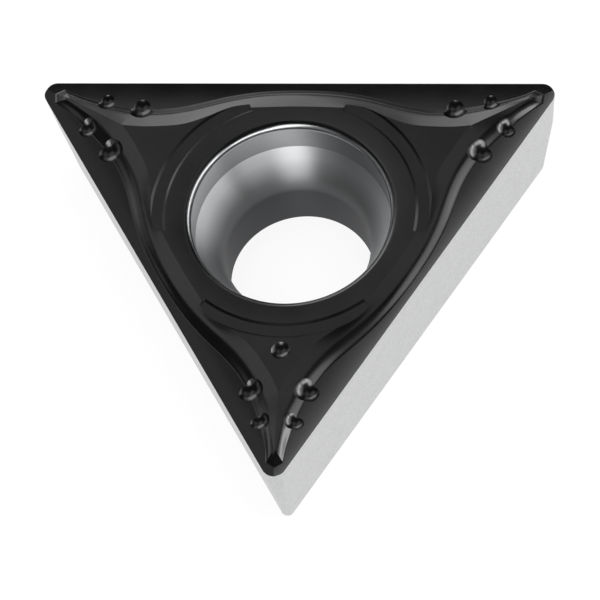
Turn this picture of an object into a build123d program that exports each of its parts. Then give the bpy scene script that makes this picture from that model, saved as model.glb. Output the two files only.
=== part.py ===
from build123d import *
import os
from math import cos, radians, sin, sqrt, tan

# Indexable triangular cutting insert of cemented carbide, pressed and ground as one piece.
# Millimetres. The origin is on the screw hole's axis at the seat face, and +Z points out of
# the rake face. One corner points along -Y.

# Blank: a triangle with clearance on its three flanks
inscribed_circle = 9.525
thickness = 3.97
clearance_angle = 7.0
nose_radius = 0.4
corner_edge_radius = 0.2
corner_half_angle = 30.0
corner_angles = (30, 150, 270)
side_angles = (90, 210, 330)

# Rake face: a shallow hollow along each cutting edge, level where the wall begins
rake_angle = 12.0
rake_width = 1.10

# Hub: the raised chip breaker, by its rise above the cutting edges
plateau_rise = 0.23
crest_rise = 0.14
hub_root = 0.05
wall_foot_flare = 0.12
knee_rise = 0.60
knee_run = 0.45

# Half outlines of the hub along one side: share of the half side from its middle towards the
# sharp corner, and distance inside the cutting edge. Each ends on the corner's bisector, at a
# gap from the sharp corner.
foot_outline = (
    (0, 0.27), (0.145, 0.32), (0.29, 0.52), (0.435, 0.82), (0.57, 0.91), (0.725, 0.70), (0.87, 0.32),
)
crest_outline = (
    (0, 0.56), (0.145, 0.66), (0.29, 0.92), (0.425, 1.22), (0.56, 1.31), (0.69, 1.20), (0.81, 0.80),
)
plateau_outline = (
    (0, 0.96), (0.145, 0.99), (0.255, 1.08), (0.34, 1.32), (0.425, 1.58), (0.51, 1.66), (0.595, 1.67),
)
foot_gap = -0.075
crest_gap = 1.025
plateau_gap = 3.255

# Two facets close the hub towards each corner. They meet on the bisector: gaps from the sharp
# corner to their top, to their apex on the rake face and to their foot corners beside it.
end_top_gap = 1.245
end_apex_gap = 0.755
end_corner_gap = 0.925
end_corner_beside = 0.247

# Round dimples on the foot of the wall: share of the half side, distance inside the cutting
# edge, ball radius, and depth of the ball's lowest point below the cutting edge
dimples = (
    (0.5915, 0.855, 0.50, 0.19),
    (0.7235, 0.635, 0.39, 0.155),
)

# One shallow round mark on the plateau, by its gap from the sharp corner
mark_gap = 4.675
mark_radius = 0.30
mark_depth = 0.12
mark_corner = 270

# Crescent groove in the plateau round each corner, outside the screw hole's rim
groove_inset = 0.60
groove_width = 0.43
groove_wall_run = 0.08
groove_depth = 0.045
groove_span = 78.0

# Screw hole
throat_radius = 2.25
throat_top = 1.63
seat_half_angle = 38.0
seat_radius = 1.05
mouth_radius = 3.10
mouth_foot_radius = 3.06
mouth_rim_radius = 0.23

# Heights and half lengths that follow from these
edge_inradius = inscribed_circle / 2
half_side = inscribed_circle * cos(radians(corner_half_angle))
corner_reach = inscribed_circle
plateau_height = thickness + plateau_rise
crest_height = thickness + crest_rise
rim_outer_radius = mouth_radius + mouth_rim_radius

# Working margins that leave no trace in the finished form
over = 0.6
end_block = 3.0
reach = 2 * corner_reach


def triangle(inradius, corner_radius, height):
    """Equilateral outline with rounded corners, level at one height."""
    corner = inradius / sin(radians(corner_half_angle))
    corners = [(corner * cos(radians(angle)), corner * sin(radians(angle))) for angle in corner_angles]
    outline = Polygon(*corners, align=None)
    return Pos(0, 0, height) * fillet(outline.vertices(), corner_radius)


def inradius_at(height):
    """Half the inscribed circle at one height of the leaning flanks."""
    return edge_inradius - (thickness - height) * tan(radians(clearance_angle))


def make_blank():
    """Flanks: a cone nose above, and a slanted edge of steady radius below."""
    lean = tan(radians(clearance_angle))
    join_height = thickness - (nose_radius - corner_edge_radius) / lean
    top_height = thickness + over
    top = triangle(inradius_at(top_height), nose_radius + over * lean, top_height)
    join = triangle(inradius_at(join_height), corner_edge_radius, join_height)
    bottom = triangle(inradius_at(0), corner_edge_radius, 0)
    upper = loft([join, top], ruled=True)
    lower = loft([bottom, join], ruled=True)
    return upper + lower


def rake_curve():
    """Radius of the hollow, and the height of its level bottom."""
    radius = rake_width / sin(radians(rake_angle))
    bottom = thickness - radius * (1 - cos(radians(rake_angle)))
    return radius, bottom


def rake_height(inset):
    """Height of the rake face at a distance inside the cutting edge."""
    radius, bottom = rake_curve()
    along = rake_width - inset
    if along <= 0:
        return bottom
    return bottom + radius - sqrt(radius**2 - along**2)


def make_rake_cutter():
    """All that lies above the rake face: the overlap of three side cutters."""
    bottom = rake_curve()[1]
    flat_end = (edge_inradius - rake_width, bottom)
    middle = (edge_inradius - rake_width / 2, rake_height(rake_width / 2))
    outer = (edge_inradius + over, rake_height(-over))
    lift = thickness + 2 * over
    hollow = ThreePointArc(flat_end, middle, outer)
    rest = Polyline(outer, (outer[0], lift), (-reach, lift), (-reach, bottom), flat_end)
    section = make_face(Plane.YZ * (hollow + rest))
    bar = extrude(section, amount=reach, both=True)
    cutter = bar
    for turn in (120, 240):
        cutter = cutter & (Rot(0, 0, turn) * bar)
    return cutter


def on_side(side_angle, along, out, height):
    """Point given in the frame of one side: along the edge, and out from the axis."""
    x = out * cos(radians(side_angle)) + along * sin(radians(side_angle))
    y = out * sin(radians(side_angle)) - along * cos(radians(side_angle))
    return Vector(x, y, height)


def beside_bisector(along_bisector, beside):
    """Point given from the corner's bisector, as along the edge and out from the axis."""
    c = cos(radians(corner_half_angle))
    s = sin(radians(corner_half_angle))
    return along_bisector * c - beside * s, along_bisector * s + beside * c


def ring(half, gap, heights):
    """Closed wire of three waves that meet on the bisectors; the last height is the tip's."""
    tip_reach = corner_reach - gap
    outline = [(share * half_side, edge_inradius - inset) for share, inset in half]
    outline.append(beside_bisector(tip_reach, 0))
    points = [(along, out, height) for (along, out), height in zip(outline, heights)]
    mirrored = [(-along, out, height) for along, out, height in reversed(points[1:])]
    waves = []
    for angle in sorted(side_angles, reverse=True):
        waves.append(Spline(*[on_side(angle, *point) for point in mirrored + points]))
    return Wire(waves)


def level(half, height):
    """The same height for each point of a half outline and its tip."""
    return [height] * (len(half) + 1)


def between(first, second, share):
    """Outline part of the way from one half outline to another."""
    return tuple(
        (a[0] + (b[0] - a[0]) * share, a[1] + (b[1] - a[1]) * share) for a, b in zip(first, second)
    )


def make_hub():
    """Wavy wall and gentle shoulder up to the plateau, cut back at the three tips."""
    foot_heights = [rake_height(inset) for share, inset in foot_outline] + [thickness]
    root = tuple((share, inset - wall_foot_flare) for share, inset in foot_outline)
    knee = between(foot_outline, crest_outline, knee_run)
    knee_gap = foot_gap + (crest_gap - foot_gap) * knee_run
    knee_heights = [z + (crest_height - z) * knee_rise for z in foot_heights]
    root_height = rake_curve()[1] - hub_root
    root_ring = ring(root, foot_gap - wall_foot_flare, level(root, root_height))
    foot_ring = ring(foot_outline, foot_gap, foot_heights)
    knee_ring = ring(knee, knee_gap, knee_heights)
    crest_ring = ring(crest_outline, crest_gap, level(crest_outline, crest_height))
    plateau_ring = ring(plateau_outline, plateau_gap, level(plateau_outline, plateau_height))
    wall = Solid.make_loft([root_ring, foot_ring, knee_ring, crest_ring])
    shoulder = Solid.make_loft([crest_ring, plateau_ring], ruled=True)
    return wall + shoulder - make_end_wedges()


def make_end_wedges():
    """Blocks above the two end facets of the hub at each corner."""
    apex_reach = corner_reach - end_apex_gap
    side_reach = corner_reach - end_corner_gap
    apex_inset = edge_inradius - beside_bisector(apex_reach, 0)[1]
    side_inset = edge_inradius - beside_bisector(side_reach, end_corner_beside)[1]
    top = Vector(corner_reach - end_top_gap, 0, crest_height)
    apex = Vector(apex_reach, 0, rake_height(apex_inset))
    wedges = []
    for hand in (-1, 1):
        side = Vector(side_reach, hand * end_corner_beside, rake_height(side_inset))
        normal = (side - apex).cross(top - apex) * hand
        block = Box(end_block, end_block, end_block, align=(Align.CENTER, Align.CENTER, Align.MIN))
        wedge = Plane(origin=apex, x_dir=top - apex, z_dir=normal) * block
        wedges += [Rot(0, 0, angle) * wedge for angle in corner_angles]
    return wedges


def make_dimples():
    """Balls that sink into the foot of the wall, mirrored on the three sides."""
    balls = []
    for side in side_angles:
        for share, inset, radius, depth in dimples:
            for hand in (-1, 1):
                along = hand * share * half_side
                centre = on_side(side, along, edge_inradius - inset, thickness - depth + radius)
                balls.append(Pos(centre) * Sphere(radius))
    return balls


def make_mark():
    """Ball that leaves the shallow mark on the plateau towards one corner."""
    radius = (mark_radius**2 + mark_depth**2) / (2 * mark_depth)
    ball = Pos(corner_reach - mark_gap, 0, plateau_height - mark_depth + radius) * Sphere(radius)
    return Rot(0, 0, mark_corner) * ball


def make_grooves():
    """Crescents with leaning walls, sunk into the plateau round each corner."""
    inner = rim_outer_radius + groove_inset
    outer = inner + groove_width
    floor_inner = inner + groove_wall_run / 2
    floor_outer = outer - groove_wall_run / 2
    floor = plateau_height - groove_depth
    lift = plateau_height + groove_depth
    outline = Polyline(
        (floor_inner, floor),
        (floor_outer, floor),
        (floor_outer + 2 * groove_wall_run, lift),
        (floor_inner - 2 * groove_wall_run, lift),
        close=True,
    )
    crescent = revolve(make_face(Plane.XZ * outline), Axis.Z, groove_span)
    return [Rot(0, 0, angle - groove_span / 2) * crescent for angle in corner_angles]


def make_hole():
    """Screw hole: throat, blend, cone seat, short mouth and a rounded rim."""
    half_angle = radians(seat_half_angle)
    blend = seat_radius * tan(half_angle / 2)
    knee_height = throat_top + blend
    seat_top = knee_height + (mouth_foot_radius - throat_radius) / tan(half_angle)
    blend_end = (throat_radius + blend * sin(half_angle), knee_height + blend * cos(half_angle))
    rim_foot = plateau_height - mouth_rim_radius
    lift = plateau_height + over
    throat = Polyline((0, -over), (throat_radius, -over), (throat_radius, throat_top))
    blend_arc = TangentArc((throat_radius, throat_top), blend_end, tangent=(0, 1))
    seat = Polyline(blend_end, (mouth_foot_radius, seat_top), (mouth_radius, rim_foot))
    rim = CenterArc((rim_outer_radius, rim_foot), mouth_rim_radius, 90, 90)
    top = Polyline((rim_outer_radius, plateau_height), (rim_outer_radius, lift), (0, lift), (0, -over))
    section = make_face(Plane.XZ * (throat + blend_arc + seat + rim + top))
    return revolve(section, Axis.Z, 360)


def make_insert():
    """The whole insert as one solid."""
    body = make_blank() - make_rake_cutter()
    body = body + make_hub()
    body = body - make_grooves()
    body = body - make_dimples()
    body = body - make_mark()
    return body - make_hole()


os.makedirs("parts", exist_ok=True)
insert_body = make_insert()
insert_body.label = "insert_body"
export_step(insert_body, "parts/insert_body.step")
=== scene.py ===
import math

import bmesh
import bpy
import numpy as np
from mathutils import Matrix, Quaternion, Vector


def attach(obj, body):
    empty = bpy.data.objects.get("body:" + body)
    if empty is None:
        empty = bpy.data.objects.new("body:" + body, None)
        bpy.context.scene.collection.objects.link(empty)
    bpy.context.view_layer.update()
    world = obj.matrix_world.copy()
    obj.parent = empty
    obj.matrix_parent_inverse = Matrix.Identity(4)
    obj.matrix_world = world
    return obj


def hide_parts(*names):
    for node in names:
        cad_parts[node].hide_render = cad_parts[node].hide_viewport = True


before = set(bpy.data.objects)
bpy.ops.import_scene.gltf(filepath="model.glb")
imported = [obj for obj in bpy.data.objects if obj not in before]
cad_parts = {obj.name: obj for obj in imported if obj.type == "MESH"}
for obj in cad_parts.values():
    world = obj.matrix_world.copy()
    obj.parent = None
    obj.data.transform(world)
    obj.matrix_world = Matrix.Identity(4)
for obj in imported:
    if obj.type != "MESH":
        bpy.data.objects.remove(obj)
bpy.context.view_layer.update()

NODE = "insert_body"
BODY = "root"

# The insert is built in millimetres, and its finished mesh is scaled to metres
MM = 0.001

# Sizes in millimetres, the same as the CAD part's
INSCRIBED_CIRCLE = 9.525
THICKNESS = 3.97
CLEARANCE = math.tan(math.radians(7.0))
NOSE_RADIUS = 0.4
CORNER_EDGE_RADIUS = 0.2
RAKE_ANGLE = math.radians(12.0)
RAKE_WIDTH = 1.10
PLATEAU_RISE = 0.23
CREST_RISE = 0.14

# Directions of the sides' middles and of the corners, and half of a corner's angle, in degrees
SIDE_ANGLES = (330, 210, 90)
CORNER_ANGLES = (30, 150, 270)
HALF_CORNER = 30

# Sizes that follow from these
SIXTH_TURN = math.radians(60)
HALF_SIDE = INSCRIBED_CIRCLE * math.sin(SIXTH_TURN)
EDGE_INRADIUS = INSCRIBED_CIRCLE / 2
PLATEAU_HEIGHT = THICKNESS + PLATEAU_RISE
CREST_HEIGHT = THICKNESS + CREST_RISE

# Half outlines of the hub along one side, from its middle towards the corner: share of the
# half side, and distance inside the cutting edge
FOOT_OUTLINE = (
    (0, 0.27), (0.145, 0.32), (0.29, 0.52), (0.435, 0.82),
    (0.57, 0.91), (0.725, 0.70), (0.87, 0.32),
)
CREST_OUTLINE = (
    (0, 0.56), (0.145, 0.66), (0.29, 0.92), (0.425, 1.22),
    (0.56, 1.31), (0.683, 1.205), (0.8075, 0.765),
)
PLATEAU_OUTLINE = (
    (0, 0.96), (0.145, 0.99), (0.255, 1.08), (0.34, 1.32),
    (0.425, 1.58), (0.51, 1.66), (0.595, 1.67),
)
# Where each outline turns towards the corner's bisector, and where it meets it: reach along
# the bisector, and distance beside it
FOOT_TURN, FOOT_TIP = (8.60, 0.247), (8.77, 0)
CREST_TURN, CREST_TIP = (8.26, 0.012), (8.28, 0)
PLATEAU_TURN, PLATEAU_TIP = (6.22, 0.03), (6.27, 0)
# Share of an outline's length at which it turns
TURN_SHARE = 0.97
# Steepness of the wall, by share of the way from its foot to its crest
WALL_SLOPES = (
    (-0.11, 0), (0.0, 0.74), (0.11, 1.0), (0.3, 0.96),
    (0.6, 0.66), (0.85, 0.4), (1.0, 0.3),
)

# Dimples on the foot of the wall: share of the half side, distance inside the edge, ball
# radius, and depth of the ball's lowest point below the edge
DIMPLES = ((0.5915, 0.855, 0.50, 0.19), (0.7235, 0.635, 0.39, 0.155))
# One round mark on the plateau, by its gap from the sharp corner
MARK_GAP = 4.675
MARK_RADIUS = 0.30
MARK_DEPTH = 0.12
MARK_CORNER = 270

# Screw hole
THROAT_RADIUS = 2.25
THROAT_TOP = 1.63
SEAT_HALF_ANGLE = math.radians(38.0)
SEAT_RADIUS = 1.05
MOUTH_RADIUS = 3.10
MOUTH_FOOT_RADIUS = 3.06
RIM_RADIUS = 0.23
RIM_OUTER_RADIUS = MOUTH_RADIUS + RIM_RADIUS

# Crescent grooves in the plateau, outside the hole's rim; their span is in degrees
GROOVE_INSET = 0.60
GROOVE_WIDTH = 0.43
GROOVE_WALL = 0.08
GROOVE_DEPTH = 0.045
GROOVE_SPAN = 78.0
GROOVE_INNER = RIM_OUTER_RADIUS + GROOVE_INSET
GROOVE_OUTER = GROOVE_INNER + GROOVE_WIDTH

# Broken edges: the cutting edge, and both edges of the seat face
EDGE_BREAK = 0.012
SEAT_BREAK = 0.04

# Points along a half side: long steps up to a share of its length, then finer ones
LONG_STEPS = 100
NOSE_STEPS = 26
NOSE_SHARE = 0.94
# Rings of the flank's upper part, by their depth below the cutting edge
FLANK_DROPS = (1.0, 0.5, 0.1, EDGE_BREAK)
# Steps across each band of rings, and rings of the rim that the coating covers
RAKE_STEPS = 12
WALL_STEPS = 20
SHOULDER_STEPS = 4
RIM_STEPS = 14
BLEND_STEPS = 12
COATED_RIM_RINGS = 7
# Steps of the cutters
GROOVE_STEPS = 96
BALL_AROUND = 96
BALL_LEVELS = 64

# Tolerances of the mesh, in millimetres
NO_AREA = 1e-9
MERGE_DISTANCE = 1e-5
ON_BISECTOR = 1e-4
MATCH_DECIMALS = 4
# Shading breaks at edges that turn more than this, and along the arms' ridges, which start
# just before the plateau's tip and stay above a height
SHARP_ANGLE = math.radians(9)
RIDGE_START = PLATEAU_TIP[0] - 0.01
RIDGE_LOWEST = THICKNESS - 0.15

# Material slots of the mesh, in the order of its materials
COAT, GROUND, RIM, MOUTH, BRIGHT = 0, 1, 2, 3, 4

# Colours; a pair is the darkest and the lightest
COAT_COLORS = ((0.0008, 0.0009, 0.0012), (0.0022, 0.0022, 0.0026))
GROUND_COLORS = ((0.47, 0.478, 0.472), (0.62, 0.63, 0.622))
RIM_COLOR = (0.33, 0.333, 0.34)
# The mouth's colour is darker than the seat's as painted shade inside the hole's mouth
MOUTH_SHADE_COLOR = (0.42, 0.426, 0.435)
SEAT_COLOR = (0.74, 0.75, 0.76)
# The throat's colour is much darker than the seat's as painted shade deep in the hole
THROAT_SHADE_COLOR = (0.09, 0.092, 0.096)
# Half of the height over which the painted shade of the throat fades into the seat's colour, in
# millimetres
THROAT_SHADE_FADE = 0.55
COAT_IOR = 1.9
# Turning lines run round the hole: their noise is long across the axis and fine along it
TURNING_STRETCH = (0.12, 0.12, 2.2)
QUARTER_TURN = 0.25

# Floor in metres; the part of its white that its lighting gives, and the part always there
FLOOR_HALF_SIZE = 3.0
FLOOR_SINK = 0.00002
FLOOR_COLOR = (0.85, 0.85, 0.85)
FLOOR_LIT = 0.15
FLOOR_WHITE = 0.87

# Black sheet of the studio, in degrees from overhead towards the front, and metres
FLAG_BACK = -16
FLAG_FRONT = 68
FLAG_STEPS = 24
FLAG_DISTANCE = 1.6
FLAG_HALF_WIDTH = 1.0
FLAG_COLOR = (0.004, 0.004, 0.004)
FLAG_GLOSS = 0.1
FLAG_GLOW = 0.01

# Soft boxes: compass angle, elevation, width and height in degrees, radiance, and roll. The
# compass angle goes from the back (+Y) to the right (+X).
SOFT_BOX_DISTANCE = 1.3
FILL = (0, 90, 60, 60, 2.0)
SOFT_BOXES = {
    "soft_box_back": (-30, 26, 42, 30, 1.15),
    "soft_box_back_upper": (-33, 43, 22, 14, 0.22),
    "soft_box_back_wide": (-16, 28, 60, 30, 0.45),
    "soft_box_right": (79, 11, 64, 22, 2.7),
    "soft_box_right_wide": (84, 25, 56, 36, 1.0),
    "soft_box_left": (-90, 9, 60, 20, 0.3),
    "soft_box_back_left": (-66, 20, 18, 34, 0.3),
    "soft_box_upper_left": (-52, 60, 36, 24, 0.4),
    "soft_box_upper_right": (34, 65, 28, 24, 0.28),
    "soft_box_back_right": (17, 48, 22, 16, 0.15),
    "soft_box_front_right": (134, 12, 60, 24, 1.7),
    "soft_box_front_right_high": (148, 15, 38, 22, 2.0),
    "soft_box_front": (179, 22, 26, 56, 3.3, 22),
    "soft_box_front_left": (206, 14, 34, 24, 0.35),
}

WHITE = (1, 1, 1, 1)
WORLD_STRENGTH = 0.02

# Camera: sensor and lens in millimetres, place in metres, and the directions behind it and up
CAMERA_SENSOR = 36
CAMERA_LENS = 1121.6
CAMERA_CLIP_END = 20
CAMERA_PLACE = (0.06721, -0.28301, 0.50219)
CAMERA_BACKWARD = (0.116, -0.4867, 0.8658)
CAMERA_UP = (-0.0026, 0.8715, 0.4903)


def cos_sin(degrees):
    """Cosine and sine of an angle in degrees."""
    return math.cos(math.radians(degrees)), math.sin(math.radians(degrees))


def cubic_curve(points, shares):
    """Smooth curve through a half outline and its mirror image, sampled by share of length."""
    points = np.array(points, float)
    mirrored = points[:0:-1] * (-1, 1)
    full = np.vstack([mirrored, points])
    chord = np.concatenate([[0], np.cumsum(np.linalg.norm(np.diff(full, axis=0), axis=1))])
    count = len(chord)
    gaps = np.diff(chord)
    matrix = np.eye(count)
    right = np.zeros((count, 2))
    for i in range(1, count - 1):
        matrix[i, i - 1:i + 2] = gaps[i - 1], 2 * (gaps[i - 1] + gaps[i]), gaps[i]
        right[i] = 6 * ((full[i + 1] - full[i]) / gaps[i] - (full[i] - full[i - 1]) / gaps[i - 1])
    bend = np.linalg.solve(matrix, right)
    at = chord[-1] / 2 * (1 + np.array(shares))
    i = np.clip(np.searchsorted(chord, at, side="right") - 1, 0, count - 2)
    a = ((chord[i + 1] - at) / gaps[i])[:, None]
    b = 1 - a
    cubic = ((a**3 - a) * bend[i] + (b**3 - b) * bend[i + 1]) * (gaps[i]**2)[:, None] / 6
    return a * full[i] + b * full[i + 1] + cubic


def beside_bisector(reach, beside):
    """Point given from the corner's bisector, in the side's own frame."""
    c, s = cos_sin(HALF_CORNER)
    return reach * c - beside * s, reach * s + beside * c


def on_side(angle, along, out):
    """Point given in one side's own frame: along its edge, and out from the axis."""
    c, s = cos_sin(angle)
    return out * c + along * s, out * s - along * c


def hub_outline(outline, turn, tip, shares):
    """Half outline of the hub: a smooth wave, then a short straight line to the bisector."""
    points = [(share * HALF_SIDE, EDGE_INRADIUS - inset) for share, inset in outline]
    points.append(beside_bisector(*turn))
    wave = cubic_curve(points, np.clip(shares / TURN_SHARE, 0, 1))
    blend = np.clip((shares - TURN_SHARE) / (1 - TURN_SHARE), 0, 1)[:, None]
    return wave * (1 - blend) + np.array(beside_bisector(*tip)) * blend


def round_triangle(inradius, corner_radius, shares):
    """Half side of a triangle with a rounded corner, sampled by share of length."""
    straight = (inradius - corner_radius) * math.sqrt(3)
    arc = corner_radius * SIXTH_TURN
    at = np.array(shares) * (straight + arc)
    turn = np.clip(at - straight, 0, None) / corner_radius
    along = np.minimum(at, straight) + corner_radius * np.sin(turn)
    out = inradius - corner_radius * (1 - np.cos(turn))
    return np.column_stack([along, out])


def circle(radius, shares):
    """Sixth of a circle round the hole's axis."""
    turn = SIXTH_TURN * np.array(shares)
    return np.column_stack([radius * np.sin(turn), radius * np.cos(turn)])


def full_ring(half, height):
    """The half side mirrored and repeated on the three sides, as one closed ring."""
    height = np.broadcast_to(height, len(half))
    side = np.vstack([half[:0:-1] * (-1, 1), half[:-1]])
    level = np.concatenate([height[:0:-1], height[:-1]])
    rings = []
    for angle in SIDE_ANGLES:
        x, y = on_side(angle, side[:, 0], side[:, 1])
        rings.append(np.column_stack([x, y, level]))
    return np.vstack(rings)


def rake_height(inset):
    """Height of the hollow rake face at a distance inside the cutting edge."""
    radius = RAKE_WIDTH / math.sin(RAKE_ANGLE)
    bottom = THICKNESS - radius * (1 - math.cos(RAKE_ANGLE))
    along = np.clip(RAKE_WIDTH - np.asarray(inset), 0, None)
    return bottom + radius - np.sqrt(radius**2 - along**2)


def flank_inradius(height):
    """Half the inscribed circle at one height of the leaning flanks."""
    return EDGE_INRADIUS - (THICKNESS - height) * CLEARANCE


def seat_rings(shares):
    """Flat seat face, with the edges of the ground face just broken."""
    inner = flank_inradius(0) - SEAT_BREAK
    return [
        full_ring(circle(THROAT_RADIUS + SEAT_BREAK, shares), 0),
        full_ring(round_triangle(inner, CORNER_EDGE_RADIUS - SEAT_BREAK, shares), 0),
    ]


def flank_rings(shares):
    """Flanks: a steady corner edge below and a cone nose above."""
    join = THICKNESS - (NOSE_RADIUS - CORNER_EDGE_RADIUS) / CLEARANCE
    rings = []
    for height in (SEAT_BREAK, join / 2, join):
        half = round_triangle(flank_inradius(height), CORNER_EDGE_RADIUS, shares)
        rings.append(full_ring(half, height))
    edge = round_triangle(EDGE_INRADIUS, NOSE_RADIUS, shares)
    edge_height = rake_height(EDGE_INRADIUS - edge[:, 1])
    for drop in FLANK_DROPS:
        height = edge_height - drop
        half = np.array([
            round_triangle(flank_inradius(z), NOSE_RADIUS - (THICKNESS - z) * CLEARANCE, [share])[0]
            for z, share in zip(height, shares)
        ])
        rings.append(full_ring(half, height))
    return rings


def rake_rings(shares):
    """Hollow rake face from the cutting edge to the start of the wall's foot."""
    edge = round_triangle(EDGE_INRADIUS - EDGE_BREAK, NOSE_RADIUS - EDGE_BREAK, shares)
    foot = wall_outline(WALL_SLOPES[0][0], shares)
    rings = []
    for step in np.linspace(0, 1, RAKE_STEPS + 1):
        half = edge + (foot - edge) * step
        rings.append(full_ring(half, rake_height(EDGE_INRADIUS - half[:, 1])))
    return rings


def wall_outline(way, shares):
    """Half outline part of the way from the foot of the wall to its crest."""
    foot = hub_outline(FOOT_OUTLINE, FOOT_TURN, FOOT_TIP, shares)
    crest = hub_outline(CREST_OUTLINE, CREST_TURN, CREST_TIP, shares)
    return foot + (crest - foot) * way


def wall_rings(shares):
    """Wall that rises from a small fillet at its foot and levels out at the crest."""
    ways, slopes = np.array(WALL_SLOPES).T
    steps = np.linspace(ways[0], 1, WALL_STEPS + 1)
    steepness = np.interp(steps, ways, slopes)
    rises = np.concatenate([[0], np.cumsum(steepness[1:] + steepness[:-1])])
    rises /= rises[-1]
    start = wall_outline(steps[0], shares)
    start_height = rake_height(EDGE_INRADIUS - start[:, 1])
    rings = []
    for step, rise in zip(steps[1:], rises[1:]):
        half = wall_outline(step, shares)
        base = rake_height(EDGE_INRADIUS - half[:, 1])
        level = start_height + (CREST_HEIGHT - start_height) * rise
        rings.append(full_ring(half, np.maximum(level, base * (1 - rise) + CREST_HEIGHT * rise)))
    return rings


def plateau_and_ridge(shares):
    """Crest, outline of the plateau, and that outline carried on along the arm's ridge."""
    crest = hub_outline(CREST_OUTLINE, CREST_TURN, CREST_TIP, shares)
    crest_reach = crest @ np.array(beside_bisector(1, 0))
    tip = np.searchsorted(crest_reach, PLATEAU_TIP[0])
    plateau_shares = np.minimum(shares / shares[tip], 1)
    plateau = hub_outline(PLATEAU_OUTLINE, PLATEAU_TURN, PLATEAU_TIP, plateau_shares)
    way = np.clip((crest_reach - crest_reach[tip]) / (crest_reach[-1] - crest_reach[tip]), 0, 1)
    ridge = plateau + np.outer(way, beside_bisector(CREST_TIP[0] - PLATEAU_TIP[0], 0))
    return crest, plateau, ridge, PLATEAU_HEIGHT - (PLATEAU_HEIGHT - CREST_HEIGHT) * way


def shoulder_rings(shares):
    """Gentle slope from the crest up to the ridge ring, which is the last but one, then the
    plateau's own ring."""
    crest, plateau, ridge, height = plateau_and_ridge(shares)
    rings = []
    for step in np.linspace(0, 1, SHOULDER_STEPS + 1)[1:]:
        half = crest + (ridge - crest) * step
        rings.append(full_ring(half, CREST_HEIGHT + (height - CREST_HEIGHT) * step))
    rings.append(full_ring(plateau, PLATEAU_HEIGHT))
    return rings


def rim_rings(shares):
    """Rounded rim from the plateau down into the hole's mouth."""
    rings = []
    for turn in np.radians(np.linspace(0, 90, RIM_STEPS + 1)):
        half = circle(RIM_OUTER_RADIUS - RIM_RADIUS * math.sin(turn), shares)
        rings.append(full_ring(half, PLATEAU_HEIGHT - RIM_RADIUS * (1 - math.cos(turn))))
    return rings


def hole_rings(shares):
    """Foot of the mouth, cone seat, blend and throat, going down."""
    knee = THROAT_TOP + SEAT_RADIUS * math.tan(SEAT_HALF_ANGLE / 2)
    seat_top = knee + (MOUTH_FOOT_RADIUS - THROAT_RADIUS) / math.tan(SEAT_HALF_ANGLE)
    profile = [(MOUTH_FOOT_RADIUS, seat_top)]
    for turn in np.linspace(SEAT_HALF_ANGLE, 0, BLEND_STEPS + 1):
        profile.append((
            THROAT_RADIUS + SEAT_RADIUS * (1 - math.cos(turn)),
            THROAT_TOP + SEAT_RADIUS * math.sin(turn),
        ))
    profile.append((THROAT_RADIUS, SEAT_BREAK))
    return [full_ring(circle(radius, shares), height) for radius, height in profile]


def ring_bands(shares):
    """All rings from the seat face up the flanks, over the top and down the hole, in bands
    with the material slot of the faces that lead into them."""
    rim = rim_rings(shares)
    hole = hole_rings(shares)
    return (
        (seat_rings(shares), GROUND),
        (flank_rings(shares), GROUND),
        (rake_rings(shares), COAT),
        (wall_rings(shares), COAT),
        (shoulder_rings(shares), COAT),
        (rim[:COATED_RIM_RINGS], COAT),
        (rim[COATED_RIM_RINGS:], RIM),
        (hole[:1], MOUTH),
        (hole[1:], BRIGHT),
    )


def ring_mesh(name, bands):
    """Closed mesh of rings, each joined to the next and the last to the first."""
    rings = []
    marks = []
    for band, material in bands:
        for ring in band:
            rings.append(ring)
            marks.append(material)
    count = len(rings[0])
    total = len(rings)
    faces = []
    materials = []
    for k in range(total):
        after = (k + 1) % total
        low, high = rings[k], rings[after]
        next_low, next_high = np.roll(low, -1, axis=0), np.roll(high, -1, axis=0)
        rise = np.linalg.norm(np.cross(next_low - low, high - low), axis=1)
        fall = np.linalg.norm(np.cross(next_high - high, next_low - high), axis=1)
        for i in range(count):
            if rise[i] < NO_AREA and fall[i] < NO_AREA:
                continue
            j = (i + 1) % count
            faces.append((k * count + i, k * count + j, after * count + j, after * count + i))
            materials.append(marks[after])
    return closed_mesh(name, np.vstack(rings).tolist(), faces, materials)


def crescent(angle):
    """Ring sector with leaning walls, which cuts one groove."""
    half = GROOVE_WALL / 2
    floor = PLATEAU_HEIGHT - GROOVE_DEPTH
    lift = PLATEAU_HEIGHT + GROOVE_DEPTH
    section = (
        (GROOVE_INNER + half, floor),
        (GROOVE_OUTER - half, floor),
        (GROOVE_OUTER + 3 * half, lift),
        (GROOVE_INNER - 3 * half, lift),
    )
    corners = len(section)
    start = angle - GROOVE_SPAN / 2
    end = angle + GROOVE_SPAN / 2
    points = []
    for turn in np.radians(np.linspace(start, end, GROOVE_STEPS + 1)):
        points += [(r * math.cos(turn), r * math.sin(turn), z) for r, z in section]
    last = len(points) - corners
    faces = [tuple(reversed(range(corners))), tuple(range(last, last + corners))]
    for k in range(0, last, corners):
        for i in range(corners):
            j = (i + 1) % corners
            faces.append((k + i, k + j, k + corners + j, k + corners + i))
    return points, faces


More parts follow.
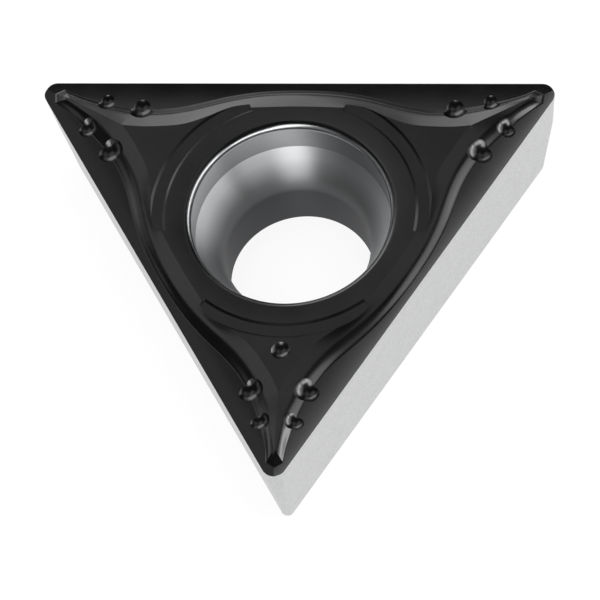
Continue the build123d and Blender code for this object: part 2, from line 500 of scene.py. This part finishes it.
def ball(centre, radius):
    """Ball as rings between two poles."""
    points = [(0, 0, -radius)]
    for k in range(1, BALL_LEVELS):
        tilt = math.pi * k / BALL_LEVELS
        for i in range(BALL_AROUND):
            turn = 2 * math.pi * i / BALL_AROUND
            points.append((
                radius * math.sin(tilt) * math.cos(turn),
                radius * math.sin(tilt) * math.sin(turn),
                -radius * math.cos(tilt),
            ))
    points.append((0, 0, radius))
    last = len(points) - 1
    faces = []
    for i in range(BALL_AROUND):
        j = (i + 1) % BALL_AROUND
        faces.append((0, 1 + j, 1 + i))
        faces.append((last, last - BALL_AROUND + i, last - BALL_AROUND + j))
        for k in range(BALL_LEVELS - 2):
            low = 1 + k * BALL_AROUND
            high = low + BALL_AROUND
            faces.append((low + i, low + j, high + j, high + i))
    return [(x + centre[0], y + centre[1], z + centre[2]) for x, y, z in points], faces


def dimple_balls():
    """Balls that sink into the foot of the wall, mirrored on the three sides."""
    balls = []
    for angle in SIDE_ANGLES:
        for share, inset, radius, depth in DIMPLES:
            for hand in (-1, 1):
                x, y = on_side(angle, hand * share * HALF_SIDE, EDGE_INRADIUS - inset)
                balls.append(ball((x, y, THICKNESS - depth + radius), radius))
    return balls


def mark_ball():
    """Ball that leaves the round mark on the plateau."""
    reach = INSCRIBED_CIRCLE - MARK_GAP
    c, s = cos_sin(MARK_CORNER)
    radius = (MARK_RADIUS**2 + MARK_DEPTH**2) / (2 * MARK_DEPTH)
    return ball((reach * c, reach * s, PLATEAU_HEIGHT - MARK_DEPTH + radius), radius)


def cutter_mesh():
    """Everything sunk into the top: crescent grooves, dimples and the round mark."""
    cutters = [crescent(angle) for angle in CORNER_ANGLES] + dimple_balls() + [mark_ball()]
    points = []
    faces = []
    for some_points, some_faces in cutters:
        faces += [tuple(len(points) + i for i in face) for face in some_faces]
        points += some_points
    return closed_mesh("cutters", points, faces)


def closed_mesh(name, points, faces, materials=None):
    """Mesh with double points merged and its faces turned outwards."""
    mesh = bpy.data.meshes.new(name)
    mesh.from_pydata(points, [], faces)
    if materials:
        mesh.polygons.foreach_set("material_index", materials)
    bm = bmesh.new()
    bm.from_mesh(mesh)
    bmesh.ops.remove_doubles(bm, verts=bm.verts, dist=MERGE_DISTANCE)
    bmesh.ops.recalc_face_normals(bm, faces=bm.faces)
    bm.to_mesh(mesh)
    bm.free()
    return mesh


def crisp_lines(points, shares):
    """Which points lie on the plateau's edge, and which on each arm's ridge."""
    edge = {tuple(point) for point in np.round(shoulder_rings(shares)[-2], MATCH_DECIMALS)}
    lines = [np.array([tuple(point) in edge for point in np.round(points, MATCH_DECIMALS)])]
    for angle in CORNER_ANGLES:
        c, s = cos_sin(angle)
        along = points[:, 0] * c + points[:, 1] * s
        beside = points[:, 1] * c - points[:, 0] * s
        on_top = (points[:, 2] > RIDGE_LOWEST) & (along > RIDGE_START)
        lines.append((np.abs(beside) < ON_BISECTOR) & on_top)
    return lines


def mark_creases(mesh, shares):
    """Mark the crisp lines that are too shallow to be found by angle."""
    points = np.zeros(len(mesh.vertices) * 3)
    mesh.vertices.foreach_get("co", points)
    ends = np.zeros(len(mesh.edges) * 2, int)
    mesh.edges.foreach_get("vertices", ends)
    ends = ends.reshape(-1, 2)
    sharp = mesh.attributes["sharp_edge"].data
    flags = np.zeros(len(mesh.edges), bool)
    sharp.foreach_get("value", flags)
    for line in crisp_lines(points.reshape(-1, 3), shares):
        flags |= line[ends[:, 0]] & line[ends[:, 1]]
    sharp.foreach_set("value", flags)


def cut_away(mesh, cutter, materials):
    """New mesh with the cutter taken out; both carry the materials in the same slots."""
    cutters = bpy.data.objects.new("cutters", cutter)
    blank = bpy.data.objects.new("insert_blank", mesh)
    for piece in (blank, cutters):
        bpy.context.scene.collection.objects.link(piece)
        for material in materials:
            piece.data.materials.append(material)
    cut = blank.modifiers.new("cut", "BOOLEAN")
    cut.operation = "DIFFERENCE"
    cut.solver = "MANIFOLD"
    cut.object = cutters
    bpy.context.view_layer.update()
    graph = bpy.context.evaluated_depsgraph_get()
    result = bpy.data.meshes.new_from_object(blank.evaluated_get(graph))
    for piece in (blank, cutters):
        bpy.data.objects.remove(piece)
    return result


def build_insert(materials):
    """The insert as one fine closed mesh, in metres."""
    along = np.linspace(0, NOSE_SHARE, LONG_STEPS, endpoint=False)
    shares = np.concatenate([along, np.linspace(NOSE_SHARE, 1, NOSE_STEPS + 1)])
    blank = ring_mesh("insert_blank", ring_bands(shares))
    mesh = cut_away(blank, cutter_mesh(), materials)
    mesh.shade_smooth()
    mesh.set_sharp_from_angle(angle=SHARP_ANGLE)
    mark_creases(mesh, shares)
    mesh.transform(Matrix.Scale(MM, 4))
    insert = bpy.data.objects.new("carbide_insert", mesh)
    bpy.context.scene.collection.objects.link(insert)
    return insert


def new_material(name, color, metallic, roughness):
    """Material with these values on its shader, before any noise is fed to it."""
    material = bpy.data.materials.new(name)
    material.use_nodes = True
    shader = material.node_tree.nodes["Principled BSDF"]
    shader.inputs["Base Color"].default_value = (*color, 1)
    shader.inputs["Metallic"].default_value = metallic
    shader.inputs["Roughness"].default_value = roughness
    return material


def feed(material, socket, value):
    """Link a value to a socket of the material's shader."""
    shader = material.node_tree.nodes["Principled BSDF"]
    material.node_tree.links.new(value, shader.inputs[socket])


def add_noise(material, scale, detail, stretch=(1, 1, 1)):
    """Noise in the object's own metres; higher scale is finer."""
    nodes = material.node_tree.nodes
    links = material.node_tree.links
    place = nodes.new("ShaderNodeTexCoord")
    mapping = nodes.new("ShaderNodeMapping")
    mapping.inputs["Scale"].default_value = stretch
    noise = nodes.new("ShaderNodeTexNoise")
    noise.inputs["Scale"].default_value = scale
    noise.inputs["Detail"].default_value = detail
    links.new(place.outputs["Object"], mapping.inputs["Vector"])
    links.new(mapping.outputs["Vector"], noise.inputs["Vector"])
    return noise.outputs["Fac"]


def spread(material, value, low, high, middle=0.5, reach=0.25):
    """Map a value from reach either side of its middle onto low..high; the defaults suit noise."""
    node = material.node_tree.nodes.new("ShaderNodeMapRange")
    node.inputs["From Min"].default_value = middle - reach
    node.inputs["From Max"].default_value = middle + reach
    node.inputs["To Min"].default_value = low
    node.inputs["To Max"].default_value = high
    material.node_tree.links.new(value, node.inputs["Value"])
    return node.outputs["Result"]


def mix_colors(material, value, low, high):
    """Colour between two colours by a value of 0..1."""
    node = material.node_tree.nodes.new("ShaderNodeMix")
    node.data_type = "RGBA"
    node.inputs["A"].default_value = (*low, 1)
    node.inputs["B"].default_value = (*high, 1)
    material.node_tree.links.new(value, node.inputs["Factor"])
    return node.outputs["Result"]


def add_bump(material, value, strength, depth):
    """Bump of the given depth in metres on the material's normal."""
    bump = material.node_tree.nodes.new("ShaderNodeBump")
    bump.inputs["Strength"].default_value = strength
    bump.inputs["Distance"].default_value = depth
    material.node_tree.links.new(value, bump.inputs["Height"])
    feed(material, "Normal", bump.outputs["Normal"])


def coat_material():
    """Black coating with a soft sheen, a faint grain and slightly uneven gloss."""
    dark, light = COAT_COLORS
    material = new_material("black_coating", light, metallic=0.0, roughness=0.25)
    material.node_tree.nodes["Principled BSDF"].inputs["IOR"].default_value = COAT_IOR
    cloud = add_noise(material, scale=900, detail=3)
    feed(material, "Base Color", mix_colors(material, spread(material, cloud, 0, 1), dark, light))
    feed(material, "Roughness", spread(material, cloud, low=0.20, high=0.25))
    grain = add_noise(material, scale=16000, detail=2)
    add_bump(material, grain, strength=0.3, depth=0.000001)
    return material


def ground_material():
    """Ground flanks and seat face: bright satin with a fine grain."""
    dark, light = GROUND_COLORS
    material = new_material("ground_carbide", light, metallic=1.0, roughness=0.46)
    grain = add_noise(material, scale=15000, detail=2)
    feed(material, "Base Color", mix_colors(material, spread(material, grain, 0, 1), dark, light))
    cloud = add_noise(material, scale=1500, detail=2)
    feed(material, "Roughness", spread(material, cloud, low=0.36, high=0.46))
    add_bump(material, grain, strength=0.5, depth=0.000004)
    return material


def rim_material():
    """Bare lower half of the hole's rounded rim, where the coating ends."""
    material = new_material("rim_carbide", RIM_COLOR, metallic=1.0, roughness=0.28)
    cloud = add_noise(material, scale=900, detail=3)
    feed(material, "Roughness", spread(material, cloud, low=0.2, high=0.28))
    return material


def turned_material(name, color, roughness, anisotropic):
    """Hole wall turned round its axis, with fine lines."""
    material = new_material(name, color, metallic=1.0, roughness=roughness)
    nodes = material.node_tree.nodes
    place = nodes.new("ShaderNodeTexCoord")
    around = nodes.new("ShaderNodeVectorMath")
    around.operation = "CROSS_PRODUCT"
    around.inputs[0].default_value = (0, 0, 1)
    material.node_tree.links.new(place.outputs["Object"], around.inputs[1])
    shader = nodes["Principled BSDF"]
    shader.inputs["Anisotropic"].default_value = anisotropic
    shader.inputs["Anisotropic Rotation"].default_value = QUARTER_TURN
    feed(material, "Tangent", around.outputs["Vector"])
    lines = add_noise(material, scale=1800, detail=2, stretch=TURNING_STRETCH)
    add_bump(material, lines, strength=0.25, depth=0.000003)
    return material


def mouth_material():
    """Short wall of the hole's mouth: rougher than the seat, with painted shade making its colour
    darker.
    """
    return turned_material("mouth_carbide", MOUTH_SHADE_COLOR, roughness=0.6, anisotropic=0.95)


def bright_material():
    """Seat and throat: bright above, darker down the throat as painted shade."""
    material = turned_material("bright_carbide", SEAT_COLOR, roughness=0.45, anisotropic=0.9)
    nodes = material.node_tree.nodes
    place = nodes.new("ShaderNodeTexCoord")
    parts = nodes.new("ShaderNodeSeparateXYZ")
    material.node_tree.links.new(place.outputs["Object"], parts.inputs["Vector"])
    # Painted shade: the colour darkens from the seat down into the throat
    middle = (THROAT_TOP + THROAT_SHADE_FADE) * MM
    height = spread(material, parts.outputs["Z"], 0, 1, middle, THROAT_SHADE_FADE * MM)
    feed(material, "Base Color", mix_colors(material, height, THROAT_SHADE_COLOR, SEAT_COLOR))
    return material


def larger(material, first, second):
    """Larger of two values."""
    node = material.node_tree.nodes.new("ShaderNodeMath")
    node.operation = "MAXIMUM"
    material.node_tree.links.new(first, node.inputs[0])
    material.node_tree.links.new(second, node.inputs[1])
    return node.outputs[0]


def mix_shaders(material, share, first, second):
    """Shader that goes from the first to the second by a share of 0..1."""
    node = material.node_tree.nodes.new("ShaderNodeMixShader")
    material.node_tree.links.new(share, node.inputs["Fac"])
    material.node_tree.links.new(first, node.inputs[1])
    material.node_tree.links.new(second, node.inputs[2])
    return node.outputs[0]


def white_shader(material):
    """White that is mostly there by itself, so that only a faint shadow shows in it."""
    nodes = material.node_tree.nodes
    lit = nodes.new("ShaderNodeBsdfDiffuse")
    lit.inputs["Color"].default_value = (FLOOR_LIT, FLOOR_LIT, FLOOR_LIT, 1)
    white = nodes.new("ShaderNodeEmission")
    white.inputs["Strength"].default_value = FLOOR_WHITE
    both = nodes.new("ShaderNodeAddShader")
    material.node_tree.links.new(lit.outputs["BSDF"], both.inputs[0])
    material.node_tree.links.new(white.outputs["Emission"], both.inputs[1])
    return both.outputs[0]


def floor_material():
    """White floor with a faint shadow for the camera and mirrors; clear when seen from below."""
    material = new_material("floor", FLOOR_COLOR, metallic=0.0, roughness=0.9)
    nodes = material.node_tree.nodes
    rays = nodes.new("ShaderNodeLightPath").outputs
    seen = larger(material, rays["Is Camera Ray"], rays["Is Glossy Ray"])
    seen = larger(material, seen, rays["Is Transmission Ray"])
    plain = nodes["Principled BSDF"].outputs["BSDF"]
    above = mix_shaders(material, seen, plain, white_shader(material))
    clear = nodes.new("ShaderNodeBsdfTransparent").outputs[0]
    below = nodes.new("ShaderNodeNewGeometry").outputs["Backfacing"]
    surface = mix_shaders(material, below, above, clear)
    material.node_tree.links.new(surface, nodes["Material Output"].inputs["Surface"])
    return material


def make_stage():
    """White floor just under the insert."""
    size = FLOOR_HALF_SIZE
    corners = [(-size, -size, 0), (size, -size, 0), (size, size, 0), (-size, size, 0)]
    mesh = bpy.data.meshes.new("floor")
    mesh.from_pydata(corners, [], [(0, 1, 2, 3)])
    floor = bpy.data.objects.new("floor", mesh)
    bpy.context.scene.collection.objects.link(floor)
    floor.data.materials.append(floor_material())
    floor.location.z = -FLOOR_SINK


def cloth_material():
    """Black cloth that hardly reflects."""
    material = new_material("black_cloth", FLAG_COLOR, metallic=0.0, roughness=0.9)
    cloth = material.node_tree.nodes["Principled BSDF"]
    cloth.inputs["Specular IOR Level"].default_value = FLAG_GLOSS
    cloth.inputs["Emission Color"].default_value = WHITE
    cloth.inputs["Emission Strength"].default_value = FLAG_GLOW
    return material


def make_flag():
    """Black sheet overhead and in front, beyond the camera, that the dark faces mirror."""
    points = []
    faces = []
    for k in range(FLAG_STEPS + 1):
        lean = math.radians(FLAG_BACK + (FLAG_FRONT - FLAG_BACK) * k / FLAG_STEPS)
        y, z = -FLAG_DISTANCE * math.sin(lean), FLAG_DISTANCE * math.cos(lean)
        points += [(-FLAG_HALF_WIDTH, y, z), (FLAG_HALF_WIDTH, y, z)]
    for k in range(FLAG_STEPS):
        faces.append((2 * k, 2 * k + 1, 2 * k + 3, 2 * k + 2))
    mesh = bpy.data.meshes.new("black_flag")
    mesh.from_pydata(points, [], faces)
    flag = bpy.data.objects.new("black_flag", mesh)
    flag.data.materials.append(cloth_material())
    flag.visible_camera = False
    flag.visible_diffuse = False
    flag.visible_shadow = False
    bpy.context.scene.collection.objects.link(flag)


def soft_box(name, compass, elevation, width, height, radiance, roll=0):
    """Rectangular lamp that faces the insert; its sides are given as the insert sees them."""
    turn, lift = math.radians(compass), math.radians(elevation)
    toward = Vector((
        math.sin(turn) * math.cos(lift),
        math.cos(turn) * math.cos(lift),
        math.sin(lift),
    ))
    light = bpy.data.lights.new(name, "AREA")
    light.shape = "RECTANGLE"
    light.size = 2 * SOFT_BOX_DISTANCE * math.tan(math.radians(width / 2))
    light.size_y = 2 * SOFT_BOX_DISTANCE * math.tan(math.radians(height / 2))
    light.energy = radiance * math.pi * light.size * light.size_y
    lamp = bpy.data.objects.new(name, light)
    lamp.location = toward * SOFT_BOX_DISTANCE
    facing = toward.to_track_quat("Z", "Y") @ Quaternion((0, 0, 1), math.radians(roll))
    lamp.rotation_euler = facing.to_euler()
    bpy.context.scene.collection.objects.link(lamp)
    return lamp


def make_lights():
    """Overhead fill that isn't mirrored, and the soft boxes that the insert's faces mirror."""
    fill = soft_box("fill_overhead", *FILL)
    fill.visible_glossy = False
    for name, values in SOFT_BOXES.items():
        soft_box(name, *values)


def make_camera():
    """Camera at the photo's viewing angle."""
    camera = bpy.data.objects.new("camera", bpy.data.cameras.new("camera"))
    camera.data.sensor_width = CAMERA_SENSOR
    camera.data.lens = CAMERA_LENS
    camera.data.clip_end = CAMERA_CLIP_END
    camera.location = CAMERA_PLACE
    backward = Vector(CAMERA_BACKWARD).normalized()
    up = Vector(CAMERA_UP).normalized()
    right = up.cross(backward).normalized()
    up = backward.cross(right)
    rotation = Matrix((right, up, backward)).transposed()
    camera.rotation_euler = rotation.to_euler()
    bpy.context.scene.collection.objects.link(camera)
    bpy.context.scene.camera = camera


def make_world():
    """Faint even light from all round."""
    world = bpy.data.worlds.new("world")
    bpy.context.scene.world = world
    world.use_nodes = True
    background = world.node_tree.nodes["Background"]
    background.inputs["Color"].default_value = WHITE
    background.inputs["Strength"].default_value = WORLD_STRENGTH


materials = (coat_material(), ground_material(), rim_material(), mouth_material(), bright_material())
insert = build_insert(materials)
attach(insert, BODY)
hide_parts(NODE)
make_stage()
make_world()
make_lights()
make_flag()
make_camera()
bpy.context.scene.view_settings.view_transform = "Standard"

bpy.context.view_layer.update()
